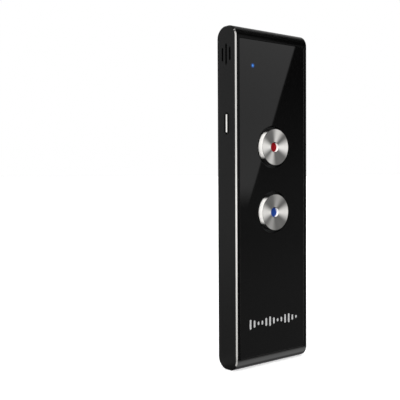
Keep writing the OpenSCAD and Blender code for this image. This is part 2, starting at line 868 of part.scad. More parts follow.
module mic(side) color("#b8b8b4") mirror([side < 0 ? 1 : 0, 0, 0])
    rod_x(mic_y, mic_z, boot_in + boot_floor, boot_in + boot_floor + mic_length, mic_radius);

// Rubber sleeve that holds the microphone and seals it against the frame
module mic_boot(side) color(black_plastic) mirror([side < 0 ? 1 : 0, 0, 0]) difference() {
    rod_x(mic_y, mic_z, boot_in, pocket_half, boot_radius);
    rod_x(mic_y, mic_z, boot_in + boot_floor, pocket_half + over, mic_radius + touch_gap / 2);
}

module mic_mesh(side) color("#101010") mirror([side < 0 ? 1 : 0, 0, 0])
    translate([0, mic_y, mic_z])
        along_x(pocket_half, pocket_half + mesh_thickness)
            square([2 * (mesh_half_depth - touch_gap), 2 * (mesh_half_length - touch_gap)],
                   center = true);

module left_mic() mic(-1);
module right_mic() mic(1);
module left_mic_boot() mic_boot(-1);
module right_mic_boot() mic_boot(1);
module left_mic_mesh() mic_mesh(-1);
module right_mic_mesh() mic_mesh(1);

// ---------------------------------------------------------------- speaker

// A rectangle with round corners round the speaker's middle
module speaker_outline(width, height) {
    round_rectangle([-width / 2, grille_z - height / 2], [width / 2, grille_z + height / 2],
                    speaker_corner);
}

module speaker_frame() color(black_plastic) difference() {
    along_y(speaker_face - speaker_thickness, speaker_face)
        speaker_outline(speaker_width, speaker_height);
    along_y(speaker_face - speaker_well, speaker_face + over)
        speaker_outline(speaker_open_width, speaker_open_height);
    rod_y(0, grille_z, speaker_face - speaker_thickness + magnet_floor, speaker_face,
          magnet_radius + fit_gap);
}

// Diaphragm with a raised, bevelled middle
module speaker_cone() color("#3a3a3e") {
    floor_y = speaker_face - speaker_well;
    along_y(floor_y, floor_y + cone_thickness)
        speaker_outline(speaker_open_width - fit_gap, speaker_open_height - fit_gap);
    translate([0, floor_y + cone_thickness, grille_z]) rotate([-90, 0, 0])
        bevelled_block(speaker_open_width - 2 * cone_flat, speaker_open_height - 2 * cone_flat,
                       cone_corner, cone_swell);
}

module speaker_magnet() color("#8c8c88")
    rod_y(0, grille_z, speaker_face - speaker_thickness + magnet_floor,
          speaker_face - speaker_thickness + magnet_floor + magnet_length, magnet_radius);

module speaker_gasket() color("#28282a") along_y(speaker_face, speaker_back) difference() {
    speaker_outline(speaker_width, speaker_height);
    speaker_outline(speaker_open_width, speaker_open_height);
}

module speaker_mesh() color("#0c0c0c")
    along_y(speaker_back, cover_front)
        speaker_outline(speaker_width - speaker_rim, speaker_height - speaker_rim);

// ---------------------------------------------------------------- battery

module battery() color("#b9bcc0")
    translate([0, 0, battery_bottom]) linear_extrude(battery_top - battery_bottom)
        round_rectangle([-battery_half, battery_front], [battery_half, battery_back],
                        battery_corner);

module battery_board() color(board_green)
    block([-battery_board_half, battery_board_front, battery_top],
          [battery_board_half, battery_board_front + charge_thickness, battery_board_top]);

// Sticky foam between the battery and the chassis deck
module battery_pad() color("#5a5a5c")
    block([-battery_half + battery_corner, deck_back, battery_bottom + pad_inset],
          [battery_half - battery_corner, battery_front, battery_top - pad_inset]);

module battery_leads() color("#c02020")
    for (x = lead_x)
        translate([x, lead_y, battery_board_top]) cylinder(r = lead_radius, h = lead_gap);

module battery_plug() color("#ece8dc") {
    middle = (lead_x[0] + lead_x[1]) / 2;
    block([middle - plug_half, board_back, plug_bottom],
          [middle + plug_half, board_back + plug_height, plug_bottom + plug_length]);
}

// ---------------------------------------------------------------- charging port

module charge_board() color(board_green) difference() {
    block([-charge_half, charge_front, charge_bottom], [charge_half, charge_back, charge_top]);
    for (x = [-charge_screw_x, charge_screw_x])
        rod_y(x, charge_screw_z, charge_front - over, charge_back + over, screw_hole);
}

module charge_screws() color(bright_metal)
    for (x = [-charge_screw_x, charge_screw_x])
        screw(x, charge_screw_z, charge_back,
              board_screw_length + charge_thickness - fit_gap);

// Outline of the port's shell: a flat box with two cut corners towards the front
module port_outline(inset) {
    w = port_width / 2 - inset;
    h = port_height / 2 - inset;
    c = port_chamfer;
    polygon([[-w, h], [w, h], [w, -h + c], [w - c, -h], [-w + c, -h], [-w, -h + c]]);
}

module port_shell() color(bright_metal) translate([0, 0, port_recess]) difference() {
    linear_extrude(port_length) port_outline(0);
    translate([0, 0, -over]) linear_extrude(port_length - port_wall + over)
        port_outline(port_wall);
}

module port_tongue() color("#202020")
    block([-tongue_half_width, tongue_front, port_recess + tongue_setback],
          [tongue_half_width, tongue_front + tongue_thickness,
           port_recess + port_length - port_wall]);

// Contact strips on the tongue's front
module port_contacts() color(gold)
    for (step = [-2:2])
        translate([step * contact_pitch, 0, 0])
            block([-contact_width / 2, tongue_front - contact_thickness,
                   port_recess + tongue_setback + contact_setback],
                  [contact_width / 2, tongue_front, port_recess + port_length - port_wall]);

// Flat ribbon from the charge board to the main board, behind the battery
module board_ribbon() color("#d8d4c8") {
    right = ribbon_left + ribbon_width;
    block([ribbon_left, ribbon_front, ribbon_bottom], [right, ribbon_back, ribbon_top]);
    block([ribbon_left, charge_back, ribbon_bottom - ribbon_thickness],
          [right, ribbon_back, ribbon_bottom]);
    block([ribbon_left, board_back, ribbon_top], [right, ribbon_back, ribbon_top + ribbon_thickness]);
    block([ribbon_left, charge_back, ribbon_bottom - ribbon_foot],
          [right, charge_back + ribbon_thickness, ribbon_bottom - ribbon_thickness]);
    block([ribbon_left, board_back, ribbon_top + ribbon_thickness],
          [right, board_back + ribbon_thickness, ribbon_top + ribbon_foot]);
}

// ---------------------------------------------------------------- one line for each node

frame();
front_panel();
back_cover();
chassis();
front_tape();
back_tape();
chassis_screws();
upper_button_cap();
upper_button_disc();
upper_button_carrier();
upper_button_clip();
upper_switch_plunger();
lower_button_cap();
lower_button_disc();
lower_button_carrier();
lower_button_clip();
lower_switch_plunger();
front_switches();
power_button();
mode_button();
volume_rocker();
rocker_pin();
left_key_flex();
right_key_flex();
key_domes();
main_board();
board_screws();
shield_can();
processor_chip();
memory_chip();
antenna();
light_chip();
light_lens();
left_mic();
right_mic();
left_mic_boot();
right_mic_boot();
left_mic_mesh();
right_mic_mesh();
speaker_frame();
speaker_cone();
speaker_magnet();
speaker_gasket();
speaker_mesh();
battery();
battery_board();
battery_pad();
battery_leads();
battery_plug();
charge_board();
charge_screws();
port_shell();
port_tongue();
port_contacts();
board_ribbon();
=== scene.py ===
"""The looks of a handheld translator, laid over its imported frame. Lengths are in metres.

The body stands on its bottom end: X runs to the right seen from the front, Y to the back, Z up.
"""
import math

import bmesh
import bpy
from mathutils import Matrix, Vector


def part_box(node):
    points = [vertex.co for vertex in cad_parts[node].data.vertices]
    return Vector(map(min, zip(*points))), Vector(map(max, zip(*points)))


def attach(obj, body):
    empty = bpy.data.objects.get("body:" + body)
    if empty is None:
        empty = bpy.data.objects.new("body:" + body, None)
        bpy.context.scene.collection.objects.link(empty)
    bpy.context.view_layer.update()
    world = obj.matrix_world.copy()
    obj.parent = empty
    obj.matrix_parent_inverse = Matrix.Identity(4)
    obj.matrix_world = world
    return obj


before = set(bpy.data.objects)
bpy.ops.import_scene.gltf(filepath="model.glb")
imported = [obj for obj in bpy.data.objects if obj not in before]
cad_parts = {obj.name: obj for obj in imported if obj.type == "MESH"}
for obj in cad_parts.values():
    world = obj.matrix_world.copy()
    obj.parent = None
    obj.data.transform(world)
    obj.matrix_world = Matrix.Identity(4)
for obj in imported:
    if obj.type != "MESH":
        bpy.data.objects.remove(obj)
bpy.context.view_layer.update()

MM = 0.001

# ---------------------------------------------------------------- places taken from the frame


def middle(node):
    """Middle of a node's box."""
    low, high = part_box(node)
    return (low + high) / 2


BODY_MIDDLE = middle("frame")
FRONT_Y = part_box("front_panel")[0].y
BACK_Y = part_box("back_cover")[1].y
# The frame's front half meets its back half, and its left half its right half, within this
HALVES_MEET = 1 * MM

# ---------------------------------------------------------------- shader nodes


def join(tree, socket, value):
    """Links a socket to another one, or sets its plain value."""
    if isinstance(value, bpy.types.NodeSocket):
        tree.links.new(value, socket)
    else:
        socket.default_value = value


def add(tree, kind, sockets=None, **settings):
    """A new node with its settings made and its sockets joined."""
    made = tree.nodes.new("ShaderNode" + kind)
    for key, value in settings.items():
        setattr(made, key, value)
    for key, value in (sockets or {}).items():
        join(tree, made.inputs[key], value)
    return made


def maths(tree, operation, a, b=0.0):
    """One sum of two values."""
    return add(tree, "Math", {0: a, 1: b}, operation=operation).outputs[0]


def times(tree, *values):
    """Several values multiplied."""
    total = values[0]
    for value in values[1:]:
        total = maths(tree, "MULTIPLY", total, value)
    return total


def largest(tree, *values):
    """The largest of several values."""
    most = values[0]
    for value in values[1:]:
        most = maths(tree, "MAXIMUM", most, value)
    return most


def fade(tree, value, low, high, start=0.0, end=1.0):
    """Goes smoothly from start to end while value goes from low to high."""
    made = add(tree, "MapRange", {"Value": value, "From Min": low, "From Max": high,
                                  "To Min": start, "To Max": end},
               interpolation_type="SMOOTHSTEP")
    return made.outputs["Result"]


def shade(tree, factor, dark, light):
    """A colour between two colours."""
    made = add(tree, "Mix", {"Factor": factor, 6: dark, 7: light}, data_type="RGBA")
    return made.outputs[2]


def colour(*rgb):
    """A colour with its alpha; one number stands for a grey."""
    return (*(rgb if len(rgb) == 3 else rgb * 3), 1.0)


def steel(level):
    """The faintly warm grey of bare metal."""
    return colour(level * 1.02, level, level * 0.965)


def place(tree, offset=(0, 0, 0), scale=(1, 1, 1)):
    """The point on the surface in the object's own frame, moved and stretched."""
    spot = add(tree, "TexCoord").outputs["Object"]
    shift = add(tree, "Mapping", {"Vector": spot, "Location": offset, "Scale": scale})
    return shift.outputs["Vector"]


def axes(tree, vector):
    """The three parts of a vector."""
    return add(tree, "SeparateXYZ", {0: vector}).outputs


def from_axis(tree, across, up):
    """Distance from an axis."""
    squares = maths(tree, "ADD", times(tree, across, across), times(tree, up, up))
    return maths(tree, "SQRT", squares)


def normal_parts(tree):
    """The three parts of the surface's own normal."""
    return axes(tree, add(tree, "TexCoord").outputs["Normal"])


def facing(tree):
    """How far the surface faces along each axis, either way: three values from 0 to 1."""
    return [maths(tree, "ABSOLUTE", part) for part in normal_parts(tree)]


def noise(tree, vector, scale, detail=2.0):
    """Smooth noise from 0 to 1."""
    made = add(tree, "TexNoise", {"Vector": vector, "Scale": scale, "Detail": detail})
    return made.outputs["Fac"]


def bump(tree, height, distance, strength=1.0, normal=None):
    """A surface normal that follows a height."""
    sockets = {"Height": height, "Distance": distance, "Strength": strength}
    if normal is not None:
        sockets["Normal"] = normal
    return add(tree, "Bump", sockets).outputs["Normal"]


def soft_edges(tree, radius):
    """A surface normal that rounds the edges off by a radius."""
    return add(tree, "Bevel", {"Radius": radius}, samples=4).outputs["Normal"]


def material(name, **sockets):
    """A new material with its shader's own values set. Returns it, its tree and its shader."""
    made = bpy.data.materials.new(name)
    made.use_nodes = True
    shader = made.node_tree.nodes["Principled BSDF"]
    for key, value in sockets.items():
        shader.inputs[key.replace("_", " ")].default_value = value
    return made, made.node_tree, shader


def wear(node_names, made):
    """Gives a material to nodes of the frame."""
    for name in node_names:
        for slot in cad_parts[name].material_slots:
            slot.material = made


# ---------------------------------------------------------------- frame and keys

# Painted shading on the black flanks: their tones at their foot and higher up, on the left and on the
# right; the left one is painted darker toward the foot and the right one lighter
LEFT_FLANK_PAINTED_SHADING = (0.0024, 0.0068)
RIGHT_FLANK_PAINTED_SHADING = (0.0100, 0.0068)
# Painted shading on the bright bevels: their tones at their foot and higher up, at the front and at the
# back; the front ones are painted darker toward the foot and the back ones lighter
FRONT_BEVEL_PAINTED_SHADING = (0.46, 0.71)
BACK_BEVEL_PAINTED_SHADING = (0.92, 0.76)
# Heights between which the painted shading at the foot turns into the tones higher up
FOOT_PAINTED_SHADING = (8 * MM, 75 * MM)
# Tones of the black lips, of the light grains in the blasted black and of the polished lower end
LIP_BLACK = 0.0005
BLAST_LIGHT = 0.02
FOOT_GLOSS = 0.075
# How far a surface faces out on the flanks, and ahead or back on the lips round the panels
FLANK_FACING = (0.85, 0.95)
LIP_FACING = (0.94, 0.98)
# The polished lower end faces down, and hardly faces out
FOOT_DOWN = (-0.20, -0.05)
FOOT_OUT = (0.2, 0.4)
# The long bevels face out by more than the first range and by less than the second
BEVEL_OUT = ((0.60, 0.66), (0.76, 0.82))
# Painted shade: the cut bevels are painted out where they turn over the ends; how far they face front or
# back there
BEVEL_ENDS_PAINTED_SHADE = (0.54, 0.62)
# At the lower end the painted shade takes them sooner: how far they face up there
BEVEL_FOOT_PAINTED_SHADE = (-0.38, -0.28)
# Only the frame's own bevels are bright: how far they lie from its middle plane
BEVEL_DEPTHS = (3.4 * MM, 3.8 * MM)
# Roughness of the blasted metal, and how much smoother its lips, bevels and lower end are
BLAST_ROUGH = (0.30, 0.38)
POLISH = 0.18
# Tones of the keys' black, and of their bright bevels at the front and at the back; the back ones are
# painted darker as painted shade
KEY_BLACK = (0.0005, 0.002)
KEY_FRONT_PAINTED_LIGHT = (0.76, 0.88)
KEY_BACK_PAINTED_SHADE = (0.44, 0.56)
KEY_ROUGH = (0.14, 0.22)
# Painted shade: the keys' bevels are painted black round their ends; how far they face up or down there
KEY_ENDS_PAINTED_SHADE = (0.1, 0.3)


def polished_bevel(tree):
    """1 on the long straight bevels, which lean halfway out to a side, and 0 elsewhere; painted shade
    takes them back to 0 where they turn over the ends.
    """
    out, ahead, _ = facing(tree)
    more, less = BEVEL_OUT
    lean = times(tree, fade(tree, out, *more), fade(tree, out, *less, 1, 0))
    return times(tree, lean, fade(tree, ahead, *BEVEL_ENDS_PAINTED_SHADE))


def either(tree, side, first, second, level, tint=colour):
    """A tint from foot to full tone by level, first where side is 0 and second where it is 1."""
    low = shade(tree, side, tint(first[0]), tint(second[0]))
    high = shade(tree, side, tint(first[1]), tint(second[1]))
    return shade(tree, level, low, high)


def anodised_frame():
    """Fine-blasted black metal with bright-cut long bevels and a polished lower end, with painted
    shading on its flanks and bevels by side and by height.
    """
    made, tree, shader = material("anodised_frame", Specular_IOR_Level=0.1)
    x, y, height = axes(tree, place(tree))
    up = normal_parts(tree)[2]
    out, ahead, _ = facing(tree)
    # where each finish lies
    outer = fade(tree, maths(tree, "ABSOLUTE", y), *BEVEL_DEPTHS)
    # painted shade: the bevels are painted out over the lower end
    bright = times(tree, polished_bevel(tree), outer, fade(tree, up, *BEVEL_FOOT_PAINTED_SHADE))
    foot = times(tree, fade(tree, up, *FOOT_DOWN, 1, 0), fade(tree, out, *FOOT_OUT, 1, 0))
    flank = fade(tree, out, *FLANK_FACING)
    lip = fade(tree, ahead, *LIP_FACING)
    upper = fade(tree, height, *FOOT_PAINTED_SHADING)
    right = fade(tree, x, -HALVES_MEET, HALVES_MEET)
    behind = fade(tree, y, -HALVES_MEET, HALVES_MEET)
    # black with painted shading, polished end, and bright bevels with painted shading
    grain = noise(tree, place(tree), 9000, 3)
    # painted shading: the flanks are darker or lighter by side and by height
    black = shade(tree, flank, colour(LIP_BLACK), either(tree, right, LEFT_FLANK_PAINTED_SHADING, RIGHT_FLANK_PAINTED_SHADING, upper))
    blasted = shade(tree, times(tree, grain, 0.08), black, colour(BLAST_LIGHT))
    polished = shade(tree, foot, blasted, colour(FOOT_GLOSS))
    streaks = noise(tree, place(tree, scale=(1, 1, 0.02)), 16000, 2)
    # painted shading: the bevels' metal is darker or lighter by side and by height
    metal = shade(tree, fade(tree, streaks, 0, 1, 0.12, 0),
                  either(tree, behind, FRONT_BEVEL_PAINTED_SHADING, BACK_BEVEL_PAINTED_SHADING, upper, steel), colour(0.0))
    join(tree, shader.inputs["Base Color"], shade(tree, bright, polished, metal))
    join(tree, shader.inputs["Metallic"], largest(tree, bright, foot))
    blast = fade(tree, grain, 0.2, 0.8, *BLAST_ROUGH)
    smooth = times(tree, largest(tree, lip, bright, foot), POLISH)
    join(tree, shader.inputs["Roughness"], maths(tree, "SUBTRACT", blast, smooth))
    join(tree, shader.inputs["Normal"],
         bump(tree, grain, 0.004 * MM, 0.35, soft_edges(tree, 0.06 * MM)))
    return made


def key_metal():
    """Black key whose long bevels are cut bright, with painted shade on the back bevels and round the
    ends.
    """
    made, tree, shader = material("key_metal", Specular_IOR_Level=0.05)
    long_ones = fade(tree, facing(tree)[2], *KEY_ENDS_PAINTED_SHADE, 1, 0)
    bright = times(tree, polished_bevel(tree), long_ones)
    behind = fade(tree, normal_parts(tree)[1], -0.1, 0.1)
    grain = noise(tree, place(tree, scale=(1, 1, 0.1)), 8000, 2)
    black, front, back = [shade(tree, grain, tint(dark), tint(light)) for tint, (dark, light)
                          in ((colour, KEY_BLACK), (steel, KEY_FRONT_PAINTED_LIGHT), (steel, KEY_BACK_PAINTED_SHADE))]
    metal = shade(tree, behind, front, back)
    join(tree, shader.inputs["Base Color"], shade(tree, bright, black, metal))
    join(tree, shader.inputs["Metallic"], bright)
    join(tree, shader.inputs["Roughness"], fade(tree, grain, 0.2, 0.8, *KEY_ROUGH))
    join(tree, shader.inputs["Normal"], soft_edges(tree, 0.03 * MM))
    return made


# ---------------------------------------------------------------- panels, mesh and light

# The drilled holes of the back cover are dull below this range of depths
DRILLED = (0.20 * MM, 0.10 * MM)
DRILLED_ROUGH = 0.6


def gloss_sheet(name, base, rough, level):
    """Polished black sheet with the faintest waviness, a soft rim and dull drilled holes."""
    made, tree, shader = material(name, IOR=1.45, Specular_IOR_Level=level)
    spots = noise(tree, place(tree), 900, 4)
    join(tree, shader.inputs["Base Color"],
         shade(tree, spots, colour(base * 0.8), colour(base * 1.2)))
    depth = axes(tree, place(tree))[1]
    below = fade(tree, depth, BACK_Y - DRILLED[0], BACK_Y - DRILLED[1], DRILLED_ROUGH, 0)
    drilled = times(tree, below, maths(tree, "GREATER_THAN", depth, 0.0))
    polish = fade(tree, spots, 0.3, 0.7, rough, rough * 1.5)
    join(tree, shader.inputs["Roughness"], largest(tree, polish, drilled))
    waves = noise(tree, place(tree), 45, 1)
    join(tree, shader.inputs["Normal"],
         bump(tree, waves, 0.02 * MM, 0.15, soft_edges(tree, 0.12 * MM)))
    return made


def light_pipe():
    """Clear blue pipe, lit from behind and brightest in its middle."""
    made, tree, shader = material("light_pipe", Roughness=0.2, Specular_IOR_Level=0.3,
                                  Emission_Strength=0.55)
    centre = middle("light_lens")
    x, _, z = axes(tree, place(tree, offset=(-centre.x, 0, -centre.z)))
    glow = fade(tree, from_axis(tree, x, z), 0.1 * MM, 0.85 * MM, 1.0, 0.0)
    blue = shade(tree, glow, colour(0.010, 0.022, 0.075), colour(0.030, 0.16, 0.50))
    join(tree, shader.inputs["Base Color"], blue)
    join(tree, shader.inputs["Emission Color"], blue)
    return made


def woven_mesh():
    """Fine black wire cloth."""
    made, tree, shader = material("woven_mesh", Metallic=0.3, Roughness=0.5)
    x, y, z = axes(tree, place(tree, scale=(4000, 4000, 4000)))
    warp = maths(tree, "SINE", maths(tree, "ADD", x, y))
    weft = maths(tree, "SINE", z)
    weave = times(tree, warp, weft)
    join(tree, shader.inputs["Base Color"],
         shade(tree, fade(tree, weave, -0.6, 0.8), colour(0.001), colour(0.012)))
    join(tree, shader.inputs["Normal"], bump(tree, weave, 0.03 * MM, 0.5))
    return made


# ---------------------------------------------------------------- round buttons

# How much of a cap's turned face mirrors, the rest being satin, and its roughness
SPUN_METALLIC = 0.3
SPUN_ROUGH = 0.40
# Painted highlights on a turned cap, as broad bright rays: the angle of each from the right, how wide it
# is to one side, and how strong it is
SIDE_PAINTED_HIGHLIGHTS = ((0, 41, 1.0), (179, 41, 1.0))
CROSS_PAINTED_HIGHLIGHTS = ((75, 36, 1.0), (245, 32, 0.85))
RAY_CORE = math.radians(2)
# Tones of the painted highlights on each cap, at its sides and across, and of the painted shade between
# them; the lower cap's rays across are painted darker
UPPER_PAINTED_HIGHLIGHTS = (0.76, 0.58)
LOWER_PAINTED_HIGHLIGHTS = (0.70, 0.30)
PAINTED_SHADE_BETWEEN_RAYS = 0.095
# Painted light on the flanks of a cap's walls, and painted shade on the rest of them: their slant from
# level, and where the painted light starts and ends
FLANK_SLANT = math.radians(8)
PAINTED_FLANK_LIGHT = (0.64, 0.84)
PAINTED_WALL_SHADE, PAINTED_WALL_LIGHT = 0.012, 0.96
WALL_ROUGH = 0.45
# The painted light on the wall of the hole reaches farther round, by this much
PAINTED_HOLE_LIGHT = 0.30
HOLE_REACH = 3 * MM
# How far a cap's turned face faces ahead
FACE_AHEAD = (0.9, 0.97)


def painted_rays(tree, across, up, lobes):
    """Painted highlights: soft bright rays from the middle, at the angles given."""
    found = []
    for angle, width, strength in lobes:
        turn = math.radians(angle)
        along = maths(tree, "ADD", times(tree, across, math.cos(turn)),
                      times(tree, up, math.sin(turn)))
        cosine = maths(tree, "DIVIDE", along, from_axis(tree, across, up))
        found.append(fade(tree, maths(tree, "ARCCOSINE", cosine), RAY_CORE, math.radians(width),
                          strength, 0))
    return largest(tree, *found)


def painted_wall_shading(tree, radius):
    """Painted light and shade on a cap's outer wall and on its hole's wall: painted bright where they
    face the sides, and dark elsewhere.
    """
    out, _, up = normal_parts(tree)
    lean = maths(tree, "ADD", times(tree, out, -math.cos(FLANK_SLANT)),
                 times(tree, up, math.sin(FLANK_SLANT)))
    hole = maths(tree, "LESS_THAN", radius, HOLE_REACH)
    catch = maths(tree, "ADD", maths(tree, "ABSOLUTE", lean), times(tree, hole, PAINTED_HOLE_LIGHT))
    return shade(tree, fade(tree, catch, *PAINTED_FLANK_LIGHT), colour(PAINTED_WALL_SHADE), steel(PAINTED_WALL_LIGHT))


def spun_metal(name, node, side_highlight, cross_highlight):
    """Turned metal: fine rings, broad painted highlights as rays on the turned face with painted shade
    between them, and painted light and shade on the walls.
    """
    made, tree, shader = material(name, Anisotropic=0.6)
    centre = middle(node)
    x, _, z = axes(tree, place(tree, offset=(-centre.x, 0, -centre.z)))
    radius = from_axis(tree, x, z)
    direction = add(tree, "CombineXYZ", {0: maths(tree, "DIVIDE", x, radius),
                                         1: maths(tree, "DIVIDE", z, radius)}).outputs[0]
    spokes = noise(tree, direction, 7, 4)
    rings = noise(tree, add(tree, "CombineXYZ", {0: radius}).outputs[0], 9000, 3)
    mottle = maths(tree, "ADD", times(tree, spokes, 0.10), times(tree, rings, 0.05))
    # painted shade between the rays, with painted highlights laid over it
    ground = shade(tree, mottle, steel(PAINTED_SHADE_BETWEEN_RAYS * 0.75), steel(PAINTED_SHADE_BETWEEN_RAYS * 5))
    crossed = shade(tree, painted_rays(tree, x, z, CROSS_PAINTED_HIGHLIGHTS), ground, steel(cross_highlight))
    rayed = shade(tree, painted_rays(tree, x, z, SIDE_PAINTED_HIGHLIGHTS), crossed, steel(side_highlight))
    front = fade(tree, facing(tree)[1], *FACE_AHEAD)
    join(tree, shader.inputs["Base Color"], shade(tree, front, painted_wall_shading(tree, radius), rayed))
    join(tree, shader.inputs["Roughness"], fade(tree, front, 0, 1, WALL_ROUGH, SPUN_ROUGH))
    join(tree, shader.inputs["Metallic"], fade(tree, front, 0, 1, 0.0, SPUN_METALLIC))
    join(tree, shader.inputs["Tangent"],
         add(tree, "Tangent", direction_type="RADIAL", axis="Y").outputs[0])
    join(tree, shader.inputs["Normal"],
         bump(tree, times(tree, front, rings), 0.003 * MM, 0.3, soft_edges(tree, 0.05 * MM)))
    return made


def lacquer(name, dark, light):
    """Deep even colour with a faint gloss."""
    made, tree, shader = material(name, Roughness=0.35, Specular_IOR_Level=0.06)
    clouds = noise(tree, place(tree), 1500, 2)
    join(tree, shader.inputs["Base Color"], shade(tree, clouds, colour(*dark), colour(*light)))
    return made


# ---------------------------------------------------------------- inner materials


def grained(name, dark, light, scale, rough, metallic=0.0, depth=0.004 * MM):
    """A plain finish with a fine grain in its colour, its gloss and its surface. Its colours are
    triples, or single numbers for greys."""
    made, tree, shader = material(name, Metallic=metallic)
    grain = noise(tree, place(tree), scale, 3)
    low, high = [colour(*tone) if isinstance(tone, tuple) else colour(tone) for tone in (dark, light)]
    join(tree, shader.inputs["Base Color"], shade(tree, grain, low, high))
    join(tree, shader.inputs["Roughness"], fade(tree, grain, 0.2, 0.8, rough * 0.85, rough * 1.15))
    join(tree, shader.inputs["Normal"], bump(tree, grain, depth, 0.3))
    return made


def circuit_board():
    """Green lacquer over a net of copper tracks."""
    made, tree, shader = material("circuit_board", Roughness=0.35, Coat_Weight=0.3)
    cells = add(tree, "TexVoronoi", {"Vector": place(tree), "Scale": 700.0},
                feature="DISTANCE_TO_EDGE").outputs["Distance"]
    tracks = fade(tree, cells, 0.03, 0.06, 1, 0)
    join(tree, shader.inputs["Base Color"],
         shade(tree, tracks, colour(0.008, 0.09, 0.035), colour(0.03, 0.19, 0.07)))
    join(tree, shader.inputs["Normal"], bump(tree, tracks, 0.02 * MM, 0.5))
    return made


# ---------------------------------------------------------------- finish of every node


def finish_outside():
    """What shows from a step away."""
    wear(["frame"], anodised_frame())
    wear(["front_panel"], gloss_sheet("mirror_black", 0.0014, 0.015, 0.5))
    wear(["back_cover"], gloss_sheet("gloss_black", 0.004, 0.03, 0.4))
    wear(["upper_button_cap"], spun_metal("spun_upper_cap", "upper_button_cap", *UPPER_PAINTED_HIGHLIGHTS))
    wear(["lower_button_cap"], spun_metal("spun_lower_cap", "lower_button_cap", *LOWER_PAINTED_HIGHLIGHTS))
    wear(["upper_button_disc"], lacquer("red_lacquer", (0.19, 0.001, 0.004), (0.28, 0.003, 0.009)))
    wear(["lower_button_disc"], lacquer("blue_lacquer", (0.008, 0.036, 0.20), (0.015, 0.055, 0.28)))
    wear(["power_button", "mode_button", "volume_rocker"], key_metal())
    wear(["light_lens"], light_pipe())
    wear(["left_mic_mesh", "right_mic_mesh", "speaker_mesh"], woven_mesh())


def finish_metal_inside():
    """Screws, springs, cans, contacts and foil."""
    wear(["chassis_screws", "board_screws", "charge_screws"],
         grained("plated_screws", (0.42, 0.42, 0.43), 0.55, 9000, 0.3, 1.0))
    wear(["upper_button_clip", "lower_button_clip", "rocker_pin", "key_domes"],
         grained("spring_steel", (0.5, 0.5, 0.49), 0.65, 12000, 0.25, 1.0))
    wear(["shield_can", "port_shell"],
         grained("tinned_steel", (0.48, 0.48, 0.46), (0.62, 0.62, 0.6), 3000, 0.3, 1.0))
    wear(["port_contacts"],
         grained("plated_contacts", (0.50, 0.31, 0.08), (0.66, 0.44, 0.14), 9000, 0.25, 1.0))
    wear(["speaker_magnet"], grained("plated_magnet", 0.28, 0.38, 5000, 0.35, 1.0))
    wear(["left_mic", "right_mic"], grained("drawn_can", 0.48, 0.6, 8000, 0.3, 1.0))
    wear(["battery"], grained("battery_foil", (0.45, 0.46, 0.48), (0.62, 0.63, 0.65), 800, 0.4, 0.9,
                              0.05 * MM))
    wear(["front_switches"], grained("switch_grey", 0.22, 0.30, 4000, 0.4, 0.8))


def finish_inside():
    """Boards, chips, moulded pieces, foam, film and leads."""
    wear(["chassis", "upper_button_carrier", "lower_button_carrier", "speaker_frame"],
         grained("moulded_black", 0.008, 0.016, 4000, 0.6))
    wear(["front_tape", "back_tape", "speaker_gasket", "battery_pad"],
         grained("black_foam", 0.02, 0.05, 6000, 0.9, depth=0.05 * MM))
    wear(["upper_switch_plunger", "lower_switch_plunger", "battery_plug"],
         grained("ivory_plastic", (0.72, 0.70, 0.64), (0.84, 0.82, 0.76), 3000, 0.5))
    wear(["left_key_flex", "right_key_flex"],
         grained("amber_film", (0.5, 0.16, 0.02), (0.66, 0.24, 0.04), 2000, 0.3))
    wear(["main_board", "battery_board", "charge_board"], circuit_board())
    wear(["processor_chip", "memory_chip", "port_tongue"],
         grained("moulded_chip", 0.012, 0.022, 7000, 0.55))
    wear(["antenna", "light_chip"],
         grained("fired_ceramic", (0.72, 0.68, 0.58), (0.86, 0.82, 0.72), 5000, 0.45))
    wear(["left_mic_boot", "right_mic_boot"], grained("soft_rubber", 0.012, 0.022, 5000, 0.8))
    wear(["speaker_cone"], grained("pressed_film", 0.035, 0.055, 3000, 0.5))
    wear(["battery_leads"], grained("red_wire", (0.42, 0.01, 0.01), (0.6, 0.02, 0.02), 4000, 0.4))
    wear(["board_ribbon"], grained("ribbon_film", (0.62, 0.58, 0.48), (0.78, 0.74, 0.64), 2000, 0.4))


# ---------------------------------------------------------------- printed bars

# A row of bars where the front carries its print: its ends, height up the body and bar sizes
MARK_LEFT, MARK_RIGHT = -14.1 * MM, 14.7 * MM
MARK_MIDDLE = 19.2 * MM
MARK_WIDTH = 1.0 * MM
MARK_SHORT, MARK_TALL = 1.3 * MM, 4.2 * MM
MARK_COUNT = 13
# From one bar to the next the wave that sets their heights goes on by this angle
MARK_SWING = math.radians(75)
MARK_INK = 0.01 * MM
MARK_CORNERS = 16


def finished(name, mesh, made, body):
    """Makes a mesh a piece of the object."""
    data = bpy.data.meshes.new(name)
    mesh.to_mesh(data)
    mesh.free()
    piece = bpy.data.objects.new(name, data)
    bpy.context.collection.objects.link(piece)
    data.materials.append(made)
    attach(piece, body)
    return piece


def bar(mesh, x, z, width, height, y, depth):
    """A flat bar with round ends, standing on the plane y."""
    arc = bmesh.ops.create_circle(mesh, cap_ends=True, radius=width / 2,
                                  segments=MARK_CORNERS)["verts"]
    run = max(height - width, 0) / 2
    for point in arc:
        side = 1 if point.co.y > 1e-9 else -1
        point.co = Vector((x + point.co.x, y, z + point.co.y + side * run))
    face = arc[0].link_faces[0]
    face.normal_update()
    raised = bmesh.ops.extrude_face_region(mesh, geom=[face])["geom"]
    points = [part for part in raised if isinstance(part, bmesh.types.BMVert)]
    bmesh.ops.translate(mesh, verts=points, vec=(0, -depth, 0))


